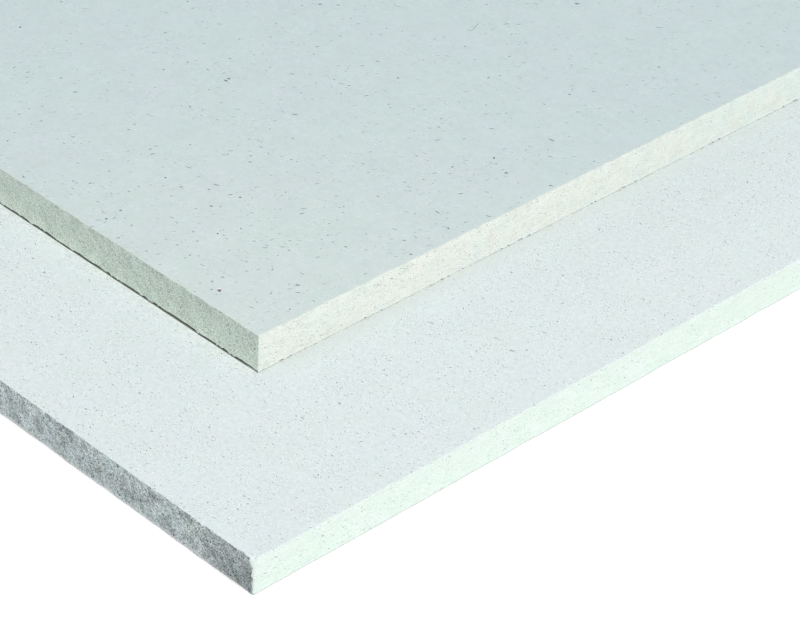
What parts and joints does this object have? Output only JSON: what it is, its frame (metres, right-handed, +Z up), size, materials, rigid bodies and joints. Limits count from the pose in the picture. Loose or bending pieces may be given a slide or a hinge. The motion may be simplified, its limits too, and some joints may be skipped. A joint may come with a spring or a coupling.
{
  "type": "dry screed board",
  "caption": "Flooring element of gypsum fibreboards bonded face to face and offset along both axes, so that its edges step into lapping rebates for a dry screed.",
  "frame": {"origin": "centre of the whole element's outline, at the level of the lower board's underside", "axes": "+X along the length, +Z up through the thickness, from the underside to the walking face. The lower tongue looks out at +X and -Y, the upper tongue at -X and +Y"},
  "size_m": [1.5514, 0.5486, 0.02],
  "materials": {
    "lower_gypsum_fibre": "matt, fine-grained, with sparse paper-fibre flecks; sawn edges",
    "upper_gypsum_fibre": "matt and smooth, with grey paper-fibre flecks; sawn edges",
    "adhesive": "cured, matt"
  },
  "bodies": {
    "root": {"lower_board": "lower_gypsum_fibre", "upper_board": "upper_gypsum_fibre", "adhesive_film": "adhesive"}
  },
  "joints": []
}
